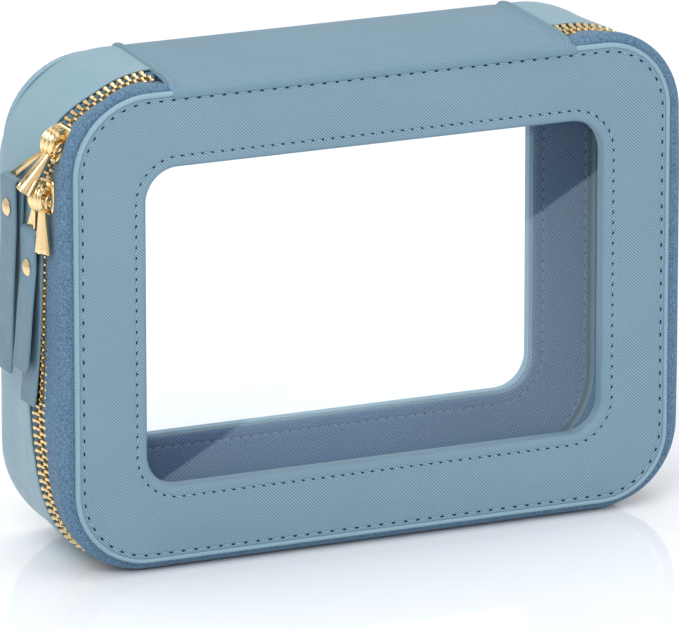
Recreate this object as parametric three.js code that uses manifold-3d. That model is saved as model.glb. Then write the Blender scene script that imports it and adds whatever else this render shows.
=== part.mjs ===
// A zip-around travel case for make-up: two window panels joined by a soft wall.
//
// Millimetres, +Z up. The case stands on its bottom wall, the front panel faces -Y,
// +X is on the right seen from the front, and the origin is the middle of the bottom.
// The front panel is the lid. It turns about the strip of leather on top of the case
// when the zip, which runs down both sides and along the bottom, is opened.

import * as THREE from 'three';
import { mergeVertices } from 'three/addons/utils/BufferGeometryUtils.js';
import Module from 'manifold-3d';

const wasm = await Module();
wasm.setup();

// ---------------------------------------------------------------- driving sizes
const caseDepth = 63;                  // front face of the front panel to back face of the back panel
const panelWidth = 217.6;
const panelHeight = 161.8;
const panelRise = 3.2;                 // the panels' lower edge above the bottom of the case
const panelMiddle = panelRise + panelHeight / 2;
const frontPanelRadius = 24.5;         // corner radius at the panel's edge
const backPanelRadius = 30;

const windowWidth = 165.1;
const windowHeight = 109.1;
const windowRadius = 11.5;

const sheetGap = 0.3;                  // left between layers that lie on each other
const leather = 1.0;
const lining = 0.8;
const boardThickness = 3.0;
const filmThickness = 0.5;
const filmOverlap = 5;                 // how far the window film runs under the frame
const pipingWidth = 2.3;               // the smooth rolled rim round each panel
const pipingDepth = 3.0;
const revealDepth = 4.6;               // front of the panel to the window film

// The wall between the panels swells past their edges, less on top than elsewhere.
const wallRadius = 30;
const wallTopLeftRadius = 36;          // the corner that carries the sliders is rounder
const wallTopDrop = 1.2;
const gussetSwell = 3.2;
const tapeSwell = 2.2;
const backRounding = 14;
const frontRounding = 5;
const wallBoard = 1.6;

const zipDepth = 17;                   // middle of the zip behind the front face
const lipDepth = 22.5;                 // front edge of the leather wall behind the front face
const teethWidth = 2.0;                // one row of teeth, seen across the zip
const teethThickness = 2.4;
const teethChannel = 1.0;              // half the channel that a slider's post runs in
const tapeThickness = 0.7;
const tapeDepth = 5.5;                 // rear tape's width under the lip, from the teeth

const stripHalfLength = 73;            // the top strip, between its two end seams
const weltWidth = 3.2;
const weltHeight = 1.0;

const sliderLength = 11.4;
const sliderWidth = 9.4;
const sliderPlate = 1.2;
const sliderHalfGap = 1.9;             // middle of the teeth to each plate
const crownHeight = 5.4;
const crownWidth = 4.6;
const crownBar = 1.3;
const upperSliderAngle = 29;           // degrees up the top left corner
const lowerSliderHeight = 129;

const pinRadius = 0.65;
const pinOut = sliderHalfGap + sliderPlate + 1.7;         // middle of the teeth to the pulls' pins
const legWidth = 0.9;
const pullClearance = 0.3;
const hookDrop = 4.4;                  // pin to the upper end of a pull's plate
const strapWidth = 12;
const strapLayer = 1.2;
const strapFold = 0.8;                 // half the space inside the strap's fold
const rivetRadius = 3;
const rivetDrop = 12.5;                // strap's fold to its rivet

// --------------------------------------------------------------- places from them
const frontFace = -caseDepth / 2;
const backFace = caseDepth / 2;
const zipPlane = frontFace + zipDepth;
const lipEdge = frontFace + lipDepth;
const tapeFront = frontFace + pipingDepth - sheetGap;
const wallSide = panelWidth / 2 + tapeSwell;              // outside of the tape, half width
const wallTop = panelRise + panelHeight - wallTopDrop + tapeSwell;
const cornerRadius = wallTopLeftRadius + tapeSwell;
const cornerX = -wallSide + cornerRadius;                 // centre of the top left corner
const cornerZ = wallTop - cornerRadius;
const teethMiddle = 0.5;                                  // inside the tape's outer face
const degree = Math.PI / 180;

// --------------------------------------------------------------------- finishes
function finish(color, roughness, metalness = 0) {
  return new THREE.MeshStandardMaterial({ color, roughness, metalness });
}
const panelLeather = () => finish(0x7f9fb3, 0.55);
const wallLeather = () => finish(0x91b1bf, 0.5);
const darkLining = () => finish(0x4f6a88, 0.65);
const greyBoard = () => finish(0x9a9a94, 0.9);
const zipTape = () => finish(0x66879f, 0.85);
const gold = () => finish(0xd9b36a, 0.25, 1);

function clearFilm() {
  const film = finish(0xe8eef2, 0.08);
  film.transparent = true;
  film.opacity = 0.25;
  return film;
}

// ------------------------------------------------------------- solids and booleans
function toSolid(geometry) {
  geometry.deleteAttribute('normal');
  geometry.deleteAttribute('uv');
  const merged = mergeVertices(geometry, 1e-4);
  return new wasm.Manifold(new wasm.Mesh({
    numProp: 3,
    vertProperties: new Float32Array(merged.attributes.position.array),
    triVerts: new Uint32Array(merged.index.array),
  }));
}

function toGeometry(solid) {
  const mesh = solid.getMesh();
  const geometry = new THREE.BufferGeometry();
  geometry.setAttribute('position', new THREE.BufferAttribute(mesh.vertProperties, 3));
  geometry.setIndex(new THREE.BufferAttribute(mesh.triVerts, 1));
  geometry.computeVertexNormals();
  return geometry;
}

function piece(name, solid, material, parent) {
  const mesh = new THREE.Mesh(toGeometry(solid), material);
  mesh.name = name;
  parent.add(mesh);
  return mesh;
}

function box(low, high) {
  const size = high.map((value, i) => value - low[i]);
  const geometry = new THREE.BoxGeometry(...size);
  geometry.translate(...low.map((value, i) => value + size[i] / 2));
  return toSolid(geometry);
}

// A rod of round section across the zip.
function crossPin(from, to, radius) {
  const geometry = new THREE.CylinderGeometry(radius, radius, to - from, 12);
  geometry.translate(0, (from + to) / 2, 0);
  return toSolid(geometry);
}

// ------------------------------------------------------------------- outlines
// A rectangle with rounded corners, radii in the order top right, top left,
// bottom left, bottom right.
function roundedOutline(left, right, bottom, top, radii) {
  const [topRight, topLeft, bottomLeft, bottomRight] = radii;
  const shape = new THREE.Shape();
  shape.moveTo(left + bottomLeft, bottom);
  shape.absarc(right - bottomRight, bottom + bottomRight, bottomRight, -90 * degree, 0);
  shape.absarc(right - topRight, top - topRight, topRight, 0, 90 * degree);
  shape.absarc(left + topLeft, top - topLeft, topLeft, 90 * degree, 180 * degree);
  shape.absarc(left + bottomLeft, bottom + bottomLeft, bottomLeft, 180 * degree, 270 * degree);
  return shape;
}

function panelOutline(inset, radius) {
  const halfWidth = panelWidth / 2 - inset;
  const halfHeight = panelHeight / 2 - inset;
  return roundedOutline(-halfWidth, halfWidth, panelMiddle - halfHeight, panelMiddle + halfHeight,
    Array(4).fill(radius - inset));
}

function windowOutline(outset) {
  const halfWidth = windowWidth / 2 + outset;
  const halfHeight = windowHeight / 2 + outset;
  return roundedOutline(-halfWidth, halfWidth, panelMiddle - halfHeight, panelMiddle + halfHeight,
    Array(4).fill(windowRadius + outset));
}

// An outline given a thickness from one depth to another, with rounded edges of the
// given reach: thickness along the depth, size outwards.
function slab(shape, near, far, { thickness = 0, size = 0, segments = 2, arcs = 4 } = {}) {
  const geometry = new THREE.ExtrudeGeometry(shape, {
    depth: far - near - 2 * thickness,
    bevelEnabled: size !== 0,
    bevelThickness: thickness,
    bevelSize: Math.abs(size),
    bevelOffset: size < 0 ? size : 0,
    bevelSegments: segments,
    curveSegments: arcs,
    steps: 1,
  });
  geometry.rotateX(90 * degree);
  geometry.translate(0, far - thickness, 0);
  return toSolid(geometry);
}

// The space inside the wall's outer face, inset from it, ending behind the front
// panel and before the back panel.
function wallBlock(swell, inset, near, far, rounding, segments = 3) {
  const halfWidth = panelWidth / 2 - inset;
  const bottom = panelRise + inset;
  const top = panelRise + panelHeight - wallTopDrop - inset;
  const round = wallRadius - inset;
  const shape = roundedOutline(-halfWidth, halfWidth, bottom, top,
    [round, wallTopLeftRadius - inset, round, round]);
  return slab(shape, near, far, { thickness: rounding, size: swell, segments });
}

// A layer of the wall: what lies between two insets, cut to a stretch of depth.
function wallLayer(makeBlock, inset, thickness, near, far) {
  const reach = 400;
  const stretch = box([-reach, near, -reach], [reach, far, reach]);
  return makeBlock(inset).subtract(makeBlock(inset + thickness)).intersect(stretch)
    .subtract(panelSpaces());
}

// The part of the top wall between the strip's end seams.
function topStretch(halfLength) {
  return box([-halfLength, -caseDepth, panelMiddle], [halfLength, caseDepth, 2 * panelMiddle]);
}

const tapeBlock = (inset) =>
  wallBlock(tapeSwell, inset, tapeFront - sheetGap, tapeFront + 60, frontRounding);
const gussetBlock = (inset) =>
  wallBlock(gussetSwell, inset, lipEdge - 2 * backRounding, backFace - 0.2, backRounding);
const stripBlock = (inset) =>
  wallBlock(gussetSwell, inset, tapeFront - sheetGap, backFace - 0.2, backRounding);

// ------------------------------------------------------------------ window panels
// Each panel is a leather cover over a board, with a rolled rim, a clear film behind
// the window and a lining on the inside. Depth is measured inwards from the panel's
// own face, so one function makes both.
function windowPanel(side, parent) {
  const front = side === 'front';
  const radius = front ? frontPanelRadius : backPanelRadius;

  function layer(shape, from, to, hole, rounding) {
    if (hole) {
      shape.holes.push(hole);
    }
    const near = front ? frontFace + from : backFace - to;
    const far = front ? frontFace + to : backFace - from;
    return slab(shape, near, far, rounding);
  }

  const coverInset = pipingWidth;
  const boardInset = coverInset + leather + sheetGap;
  const boardOutset = leather + sheetGap;
  const boardBack = leather + sheetGap + boardThickness;

  const cover = layer(panelOutline(coverInset, radius), 0, revealDepth, windowOutline(0));
  const pocket = layer(panelOutline(boardInset - sheetGap, radius), leather, revealDepth + 1,
    windowOutline(leather));
  piece(`${side}_panel_cover`, cover.subtract(pocket), panelLeather(), parent);

  const board = layer(panelOutline(boardInset, radius), leather + sheetGap, boardBack,
    windowOutline(boardOutset));
  piece(`${side}_panel_board`, board, greyBoard(), parent);

  const rim = layer(panelOutline(pipingWidth / 2, radius), -0.3, pipingDepth - 2 * sheetGap,
    panelOutline(pipingWidth - sheetGap - 0.55, radius), { thickness: 0.9, size: 0.55 });
  piece(`${side}_panel_piping`, rim, panelLeather(), parent);

  const filmFace = revealDepth + sheetGap;
  const film = layer(windowOutline(filmOverlap), filmFace, filmFace + filmThickness);
  piece(`${side}_window_film`, film, clearFilm(), parent);

  const liningFace = filmFace + filmThickness + sheetGap;
  const inside = layer(panelOutline(coverInset + 1, radius), liningFace, liningFace + lining,
    windowOutline(1));
  piece(`${side}_panel_lining`, inside, darkLining(), parent);
}

// The wall's corners are rounder than the panels', so every layer of the wall is cut
// back where a panel stands.
function panelSpaces() {
  const depth = revealDepth + 2 * sheetGap + filmThickness + lining + sheetGap;
  const inset = pipingWidth - sheetGap;
  const frontSpace = slab(panelOutline(inset, frontPanelRadius), frontFace - 1, frontFace + depth);
  const backSpace = slab(panelOutline(inset, backPanelRadius), backFace - depth, backFace + 1);
  return frontSpace.add(backSpace);
}

// ------------------------------------------------------------------ wall and strip
function caseWall(parent) {
  const wallBack = backFace - pipingDepth;
  const skin = wallLayer(gussetBlock, 0, leather, lipEdge, wallBack)
    .subtract(topStretch(stripHalfLength + sheetGap));
  piece('gusset_leather', skin, wallLeather(), parent);

  const boardInset = leather + sheetGap;
  const board = wallLayer(gussetBlock, boardInset, wallBoard, lipEdge + 4, wallBack - 3.6);
  piece('gusset_board', board, greyBoard(), parent);

  const liningInset = boardInset + wallBoard + sheetGap;
  const inside = wallLayer(gussetBlock, liningInset, lining, lipEdge + 0.5, wallBack - 3.6);
  piece('gusset_lining', inside, darkLining(), parent);
}

// The top strip is one piece of leather. It is cut at its fold here, the front half
// on the lid and the rear half on the case, and each end carries its half of a welt.
function topStrip(side, near, far, parent) {
  const sheet = wallLayer(stripBlock, 0, leather, near, far).intersect(topStretch(stripHalfLength));
  const raised = wallLayer(stripBlock, -weltHeight, leather + weltHeight, near, far)
    .intersect(topStretch(stripHalfLength))
    .subtract(topStretch(stripHalfLength - weltWidth));
  piece(`top_strip_${side}`, sheet.add(raised), panelLeather(), parent);
}

// ------------------------------------------------------------------------- zip
function zipSide(side, parent) {
  const front = side === 'front';
  const direction = front ? -1 : 1;
  const span = (from, to) => {
    const ends = [zipPlane + direction * from, zipPlane + direction * to];
    return [Math.min(...ends), Math.max(...ends)];
  };
  const open = topStretch(stripHalfLength + sheetGap);

  const teethInset = teethMiddle - teethThickness / 2;
  const teeth = wallLayer(tapeBlock, teethInset, teethThickness,
    ...span(teethChannel, teethChannel + teethWidth));
  piece(`${side}_zip_teeth`, teeth.subtract(open), gold(), parent);

  const tapeStart = teethChannel + teethWidth + sheetGap;
  const tapeEnd = front ? zipPlane - tapeFront : tapeStart + tapeDepth;
  const tapeInset = front ? teethMiddle - tapeThickness / 2 : leather - gussetSwell + tapeSwell + sheetGap;
  const tape = wallLayer(tapeBlock, tapeInset, tapeThickness, ...span(tapeStart, tapeEnd));
  piece(`${side}_zip_tape`, tape.subtract(open), zipTape(), parent);
}

// ----------------------------------------------------------------------- sliders
// In a slider's own frame +X points out of the case, +Z up along the zip and +Y
// towards the front. The origin lies in the middle of the teeth.
function sliderBody() {
  const halfLength = sliderLength / 2;
  const halfWidth = sliderWidth / 2;
  const shoulder = 1.6;

  function plate(from) {
    const shape = new THREE.Shape();
    shape.moveTo(-halfWidth + shoulder, -halfLength);
    shape.lineTo(halfWidth - shoulder, -halfLength);
    shape.lineTo(halfWidth, halfLength - 2 * shoulder);
    shape.absarc(halfWidth - shoulder, halfLength - shoulder, shoulder, 0, 90 * degree);
    shape.absarc(-halfWidth + shoulder, halfLength - shoulder, shoulder, 90 * degree, 180 * degree);
    const geometry = new THREE.ExtrudeGeometry(shape, {
      depth: sliderPlate - 0.5,
      bevelThickness: 0.25,
      bevelSize: 0.25,
      bevelOffset: -0.25,
      bevelSegments: 1,
      curveSegments: 2,
    });
    geometry.rotateX(90 * degree);
    geometry.rotateZ(90 * degree);
    geometry.translate(from + 0.25, 0, 0);
    return toSolid(geometry);
  }

  const flangeReach = 0.5;
  const flange = (side) => box(
    [sliderHalfGap - flangeReach, side > 0 ? halfWidth - 0.9 : -halfWidth, -halfLength + 2.5],
    [sliderHalfGap + 0.4, side > 0 ? halfWidth : -halfWidth + 0.9, halfLength - 3.5]);
  const post = box([-sliderHalfGap - 0.5, -0.7, 0.5], [sliderHalfGap + 0.5, 0.7, 4.5]);

  const crown = new THREE.Shape();
  const reach = 4.2;
  crown.moveTo(-reach, 0);
  crown.absellipse(0, 0, reach, crownHeight, 180 * degree, 0, true);
  crown.lineTo(reach - crownBar, 0);
  crown.absellipse(0, 0, reach - crownBar, crownHeight - crownBar, 0, 180 * degree, false);
  const arch = new THREE.ExtrudeGeometry(crown, {
    depth: crownWidth - 0.8,
    bevelThickness: 0.4,
    bevelSize: 0.3,
    bevelOffset: -0.3,
    bevelSegments: 1,
    curveSegments: 5,
  });
  arch.translate(0, 0, -(crownWidth - 0.8) / 2);
  arch.rotateX(90 * degree);
  arch.rotateY(90 * degree);
  arch.translate(sliderHalfGap + sliderPlate - 0.5, 0, 0);

  return [plate(-sliderHalfGap - sliderPlate), flange(1), flange(-1), post, toSolid(arch)]
    .reduce((whole, part) => whole.add(part), plate(sliderHalfGap));
}

// A flared plate that widens downwards, its upper end at the given height.
function flaredPlate(top, bottom, topWidth, bottomWidth, topMiddle, bottomMiddle, thickness) {
  const shape = new THREE.Shape();
  shape.moveTo(topMiddle - topWidth / 2, top);
  shape.lineTo(bottomMiddle - bottomWidth / 2, bottom + 0.8);
  shape.lineTo(bottomMiddle - bottomWidth / 2 + 0.8, bottom);
  shape.lineTo(bottomMiddle + bottomWidth / 2 - 0.8, bottom);
  shape.lineTo(bottomMiddle + bottomWidth / 2, bottom + 0.8);
  shape.lineTo(topMiddle + topWidth / 2, top);
  const geometry = new THREE.ExtrudeGeometry(shape, { depth: thickness, bevelEnabled: false });
  geometry.rotateX(90 * degree);
  geometry.rotateZ(90 * degree);
  geometry.translate(-thickness / 2, 0, 0);
  return toSolid(geometry);
}

// Each pull hooks into the crown from its own side: a pin that reaches the middle of
// the crown, and one leg beside it, down to where the flared plate begins. Side 1 is
// the front.
function pullHook(side) {
  const outer = crownWidth / 2 + pullClearance + legWidth;
  const between = (a, b) => [Math.min(side * a, side * b), Math.max(side * a, side * b)];
  const [legFrom, legTo] = between(outer - legWidth, outer);
  const leg = box([-pinRadius, legFrom, -hookDrop - 1], [pinRadius, legTo, pinRadius]);
  return crossPin(...between(sheetGap / 2, outer - 0.2), pinRadius).add(leg);
}

// The short metal pull hangs towards the front, with a shallow trough down its face.
function tonguePull() {
  const length = 17;
  const plate = flaredPlate(-hookDrop, -length, 3.2, 6.6, 2.2, 3.2, 1.3);
  const trough = flaredPlate(-hookDrop - 2.6, -length + 1.4, 1.6, 4.2, 2.4, 3.0, 1).translate([0.9, 0, 0]);
  return pullHook(1).add(plate.subtract(trough));
}

// The clip that holds the leather strap flares towards the back, and its lower end
// lies in the strap's fold.
function strapClip(drop, behind) {
  const slant = 0.9;
  return pullHook(-1).add(flaredPlate(-hookDrop, -drop, 2.4, 5.8, -2.4, -behind - slant, 1));
}

// The strap is one strip folded over the clip, its two ends hanging side by side.
// Its frame is the clip's plate end: +X out of the case, hanging down -Z.
function strapLeather(outerLength, innerLength) {
  const splay = 0.3;
  const inner = strapFold;
  const outer = inner + strapLayer;
  const shape = new THREE.Shape();
  shape.moveTo(outer, 0);
  shape.absarc(0, 0, outer, 0, 180 * degree, false);
  shape.quadraticCurveTo(-outer, -innerLength / 2, -outer - splay, -innerLength);
  shape.lineTo(-inner - splay, -innerLength);
  shape.quadraticCurveTo(-inner + 0.5, -innerLength / 2, -inner + 0.5, -14);
  shape.lineTo(-inner, 0);
  shape.absarc(0, 0, inner, 180 * degree, 0, true);
  shape.lineTo(inner - 0.5, -14);
  shape.quadraticCurveTo(inner - 0.5, -outerLength / 2, inner + splay, -outerLength);
  shape.lineTo(outer + splay, -outerLength);
  shape.quadraticCurveTo(outer, -outerLength / 2, outer, 0);
  const geometry = new THREE.ExtrudeGeometry(shape, {
    depth: strapWidth,
    bevelEnabled: false,
    curveSegments: 5,
  });
  geometry.rotateX(90 * degree);
  geometry.translate(0, strapWidth / 2, 0);
  return toSolid(geometry);
}

function strapRivet() {
  const outside = strapFold + strapLayer + sheetGap;
  const profile = [
    [0, outside + 1],
    [1.5, outside + 0.85],
    [2.6, outside + 0.45],
    [rivetRadius, outside],
    [1.1, outside],
    [1.1, -outside],
    [rivetRadius - 0.5, -outside],
    [rivetRadius - 0.7, -outside - 0.6],
    [0, -outside - 0.6],
  ].map(([radius, along]) => new THREE.Vector2(radius, along));
  const geometry = new THREE.LatheGeometry(profile.reverse(), 16);
  geometry.rotateZ(-90 * degree);
  return toSolid(geometry);
}

function placed(parent, x, z, angle) {
  const turned = new THREE.Group();
  turned.position.set(x, zipPlane, z);
  turned.rotation.y = angle * degree;
  const facing = new THREE.Group();
  facing.rotation.z = 180 * degree;
  turned.add(facing);
  parent.add(turned);
  return facing;
}

// One slider with its metal pull, its strap clip and its strap. The angle is how far
// up the corner the slider stands; the pulls hang by their own angles from upright,
// and the strap hangs the stated distance behind the middle of the zip.
function slider(name, x, z, angle, pull, parent) {
  const pinX = x - pinOut * Math.cos(angle * degree);
  const pinZ = z + pinOut * Math.sin(angle * degree);

  piece(`${name}_slider`, sliderBody(), gold(), placed(parent, x, z, angle));

  piece(`${name}_metal_pull`, tonguePull(), gold(), placed(parent, pinX, pinZ, pull.tongueAngle));
  piece(`${name}_strap_clip`, strapClip(pull.clipDrop, pull.behind), gold(),
    placed(parent, pinX, pinZ, pull.clipAngle));

  const reach = pull.clipDrop - 1;
  const endX = pinX - reach * Math.sin(pull.clipAngle * degree);
  const endZ = pinZ - reach * Math.cos(pull.clipAngle * degree);
  const hanging = placed(parent, endX, endZ, 0);
  const strap = strapLeather(pull.outerLength, pull.innerLength)
    .subtract(clipSlot(pull.clipAngle))
    .subtract(rivetHole());
  const leatherMesh = piece(`${name}_strap`, strap, wallLeather(), hanging);
  leatherMesh.position.y = -pull.behind;
  const rivet = piece(`${name}_strap_rivet`, strapRivet(), gold(), hanging);
  rivet.position.set(0, -pull.behind, -rivetDrop);
}

// Room in the strap's fold for the clip's plate, which enters from above.
function clipSlot(angle) {
  const length = 14;
  const slot = new THREE.BoxGeometry(1.7, 10.4, length);
  slot.translate(0, 0, length / 2 - 1.4);
  slot.rotateY(-angle * degree);
  return toSolid(slot);
}

function rivetHole() {
  const hole = new THREE.CylinderGeometry(1.4, 1.4, 12, 16);
  hole.rotateZ(90 * degree);
  hole.translate(0, 0, -rivetDrop);
  return toSolid(hole);
}

// --------------------------------------------------------------------- the case
const makeupCase = new THREE.Group();

windowPanel('front', makeupCase);
windowPanel('back', makeupCase);
caseWall(makeupCase);
topStrip('front', tapeFront, zipPlane - sheetGap / 2, makeupCase);
topStrip('rear', zipPlane + sheetGap / 2, backFace - pipingDepth, makeupCase);
zipSide('front', makeupCase);
zipSide('rear', makeupCase);

const teethRadius = cornerRadius - teethMiddle;
slider('upper',
  cornerX - teethRadius * Math.cos(upperSliderAngle * degree),
  cornerZ + teethRadius * Math.sin(upperSliderAngle * degree),
  upperSliderAngle,
  { tongueAngle: 44, clipAngle: 30, clipDrop: 18.3, behind: 18.8, outerLength: 69, innerLength: 66 },
  makeupCase);
slider('lower',
  -wallSide + teethMiddle,
  lowerSliderHeight,
  0,
  { tongueAngle: 3, clipAngle: 8, clipDrop: 9.7, behind: 6.4, outerLength: 51, innerLength: 63 },
  makeupCase);

export default makeupCase;
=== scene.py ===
import math

import bmesh
import bpy
import numpy as np
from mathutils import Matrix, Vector


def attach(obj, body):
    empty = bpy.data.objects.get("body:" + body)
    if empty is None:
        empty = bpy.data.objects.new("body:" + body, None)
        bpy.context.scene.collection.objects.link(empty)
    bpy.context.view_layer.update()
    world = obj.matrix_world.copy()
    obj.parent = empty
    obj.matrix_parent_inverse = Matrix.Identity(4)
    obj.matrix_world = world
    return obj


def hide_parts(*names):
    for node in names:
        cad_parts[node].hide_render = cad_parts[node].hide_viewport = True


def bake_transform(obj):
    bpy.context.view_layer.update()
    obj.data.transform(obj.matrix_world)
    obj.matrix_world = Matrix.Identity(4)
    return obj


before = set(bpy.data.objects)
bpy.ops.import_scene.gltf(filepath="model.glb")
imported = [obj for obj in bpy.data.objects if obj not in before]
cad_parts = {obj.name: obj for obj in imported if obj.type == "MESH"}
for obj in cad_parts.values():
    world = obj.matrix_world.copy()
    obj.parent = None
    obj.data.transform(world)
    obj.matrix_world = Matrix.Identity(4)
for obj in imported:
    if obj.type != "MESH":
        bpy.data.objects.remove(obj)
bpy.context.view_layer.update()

# Zip-around make-up case with a window in each panel. Shapes are worked out in
# millimetres and put into the meshes in metres. The front faces -Y, up is +Z.

millimetre = 0.001
faceDepth = 31.5                      # the panels' outer faces stand this far from the middle
zipPlane = -14.5


# A rounded rectangle is walked in nine stretches from the middle of its top edge
# towards -X. Corner centre, radius and the normal's angle all change evenly along
# each stretch, so a point is centre + radius * (cos angle, sin angle).
def roundedPath(topLeft, bottomLeft, bottomRight, topRight):
    middle = [(a + b) / 2 for a, b in zip(topLeft, topRight)]
    stops = np.array([middle, topLeft, topLeft, bottomLeft, bottomLeft,
                      bottomRight, bottomRight, topRight, topRight, middle], float)
    angle = np.radians([90, 90, 180, 180, 270, 270, 360, 360, 450, 450])
    points = stops[:, :2] + stops[:, 2:] * np.stack([np.cos(angle), np.sin(angle)], 1)
    straight = np.linalg.norm(np.diff(points, axis=0), axis=1)
    turn = np.diff(angle)
    stretches = np.where(turn > 0, stops[:-1, 2] * turn, straight)
    return {"stops": stops, "angle": angle, "run": np.concatenate([[0], np.cumsum(stretches)])}


# The outline of a plain rounded rectangle, from its half width, its lowest and highest edge
# and one radius.
def panelPath(halfWidth, low, high, radius):
    x = halfWidth - radius
    return roundedPath((-x, high - radius, radius), (-x, low + radius, radius),
                       (x, low + radius, radius), (x, high - radius, radius))


# The same outline moved outwards along its normals.
def moved(path, outset):
    corners = path["stops"][[1, 3, 5, 7]] + [0, 0, outset]
    return roundedPath(*corners)


# Corner centre, radius and normal's angle at a place, read evenly between the ten stops.
def along(path, place):
    number = np.arange(10)
    x, z, radius = (np.interp(place, number, column) for column in path["stops"].T)
    return x, z, radius, np.interp(place, number, path["angle"])


# Place from run in millimetres, and run from place.
def placeAt(path, run):
    return np.interp(run, path["run"], np.arange(10))


def runAt(path, place):
    return np.interp(place, np.arange(10), path["run"])


# Places round a whole outline, about one spacing apart, with every stretch's end hit.
def evenPlaces(path, spacing):
    counts = np.maximum(2, np.ceil(np.diff(path["run"]) / spacing)).astype(int)
    return np.concatenate([k + np.arange(n) / n for k, n in enumerate(counts)])


# A profile carried round the case. Each profile row holds share, outset and depth: the
# point lies on the blend of the two paths by its share, moved out by the outset.
def sweep(first, second, place, share, outset, depth):
    start, end = along(first, place), along(second, place)
    x, z, radius = ((1 - share) * a + share * b for a, b in zip(start[:3], end[:3]))
    reach = radius + outset
    angle = start[3] + 0 * reach
    return np.stack([x + reach * np.cos(angle), depth + 0 * reach, z + reach * np.sin(angle)], -1)


# Rows of numbers become one upright column for each number.
def columns(rows):
    return [np.array(column, float)[:, None] for column in zip(*rows)]


# Rows and columns of points become quads. A loop closes rows or columns on themselves,
# and corners tell each quad's corner by its column and row, for the uv.
def gridFaces(shape, rowLoop, columnLoop):
    rows, cols = shape
    index = np.arange(rows * cols).reshape(rows, cols)
    r, c = np.meshgrid(np.arange(rows - (not rowLoop)), np.arange(cols - (not columnLoop)), indexing="ij")
    up, on = (r + 1) % rows, (c + 1) % cols
    quads = np.stack([index[r, c], index[r, on], index[up, on], index[up, c]], -1).reshape(-1, 4)
    around = ((r, c), (r, c + 1), (r + 1, c + 1), (r + 1, c))
    corners = np.stack([np.stack(pair, -1) for pair in around], -2)
    return index, quads, corners.reshape(-1, 2)


# A grid of points in millimetres becomes a piece. Caps close the two ends of an open
# sweep, and uv is one pair per point, or the columns' run and the rows' run.
def gridPiece(name, grid, material, rowLoop=False, columnLoop=False, caps=False, uv=None, sharp=40):
    index, quads, corners = gridFaces(grid.shape[:2], rowLoop, columnLoop)
    faces = quads.tolist()
    cornerUv = np.zeros((len(corners), 2))
    if isinstance(uv, tuple):
        cornerUv = np.stack([uv[0][corners[:, 1]], uv[1][corners[:, 0]]], -1)
    elif uv is not None:
        cornerUv = uv.reshape(-1, 2)[quads.ravel()]
    if caps:
        faces += [index[:, 0].tolist(), index[::-1, -1].tolist()]
        cornerUv = np.concatenate([cornerUv, np.zeros((2 * grid.shape[0], 2))])
    mesh = bpy.data.meshes.new(name)
    mesh.from_pydata((grid.reshape(-1, 3) * millimetre).tolist(), [], faces)
    layer = mesh.uv_layers.new(name="UVMap")
    layer.data.foreach_set("uv", (cornerUv * millimetre).astype(np.float32).ravel())
    return finishedPiece(name, mesh, material, sharp)


# Doubles at poles are merged, normals turned outwards and the shading made smooth.
def finishedPiece(name, mesh, material, sharp=40):
    shape = bmesh.new()
    shape.from_mesh(mesh)
    bmesh.ops.remove_doubles(shape, verts=shape.verts, dist=1e-6)
    bmesh.ops.recalc_face_normals(shape, faces=shape.faces)
    shape.to_mesh(mesh)
    shape.free()
    mesh.polygons.foreach_set("use_smooth", np.ones(len(mesh.polygons), bool))
    mesh.set_sharp_from_angle(angle=math.radians(sharp))
    mesh.materials.append(material)
    piece = bpy.data.objects.new(name, mesh)
    bpy.context.scene.collection.objects.link(piece)
    return piece


# One small closed shape set down many times, each on its own three axes.
def manyPiece(name, shape, centres, axes, material, sharp=50):
    points, quads = shape
    placed = centres[:, None, :] + np.einsum("pk,nkj->npj", points, axes)
    step = len(points) * np.arange(len(centres))[:, None, None]
    mesh = bpy.data.meshes.new(name)
    mesh.from_pydata((placed.reshape(-1, 3) * millimetre).tolist(), [],
                     (quads[None] + step).reshape(-1, 4).tolist())
    return finishedPiece(name, mesh, material, sharp)


# A finished piece rides on its body and stands for CAD nodes, which are hidden. Its slot is not used.
def settle(piece, body, slot, *replaced):
    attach(piece, body)
    if replaced:
        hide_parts(*replaced)
    return piece


# A CAD node keeps its shape and gets a better material.
def dress(node, material):
    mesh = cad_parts[node].data
    mesh.materials.clear()
    mesh.materials.append(material)


# A bead: rings along its length whose half width and height follow two curves.
def bead(length, width, height, rings=6, sides=8, blunt=0.5):
    t = np.linspace(-1, 1, rings + 1)[:, None]
    a = np.linspace(0, 2 * math.pi, sides, endpoint=False)[None]
    fade = (1 - t ** 2) ** blunt
    points = np.stack([t * length / 2 + 0 * a, fade * np.cos(a) * width / 2,
                       fade * np.sin(a) * height / 2], -1)
    return points.reshape(-1, 3), gridFaces(points.shape[:2], False, True)[1]


# The sign kept and the size raised to a power, which makes a round section squarer.
def squared(wave, power):
    return np.sign(wave) * np.abs(wave) ** power


# Where a row of small shapes lies along an outline: corner centres, radii, and the
# directions outward and onward. A point is its centre + radius * outward.
def lineUp(path, place, y):
    x, z, radius, angle = along(path, place)
    zero = 0 * angle
    out = np.stack([np.cos(angle), zero, np.sin(angle)], -1)
    onward = np.stack([-np.sin(angle), zero, np.cos(angle)], -1)
    return np.stack([x, zero + y, z], -1), radius[:, None], out, onward


# A colour code of three channels becomes linear light, as the eye's curve says.
def paint(code):
    channels = [int(code[i:i + 2], 16) / 255 for i in (1, 3, 5)]
    return tuple(c / 12.92 if c <= 0.04045 else ((c + 0.055) / 1.055) ** 2.4 for c in channels) + (1,)


# A material with the plain shader's own roughness, metal and gloss set.
def startMaterial(name, roughness, metallic=0.0, specular=0.5):
    material = bpy.data.materials.new(name)
    material.use_nodes = True
    shader = material.node_tree.nodes["Principled BSDF"]
    shader.inputs["Roughness"].default_value = roughness
    shader.inputs["Metallic"].default_value = metallic
    shader.inputs["Specular IOR Level"].default_value = specular
    return material, material.node_tree, shader


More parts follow.
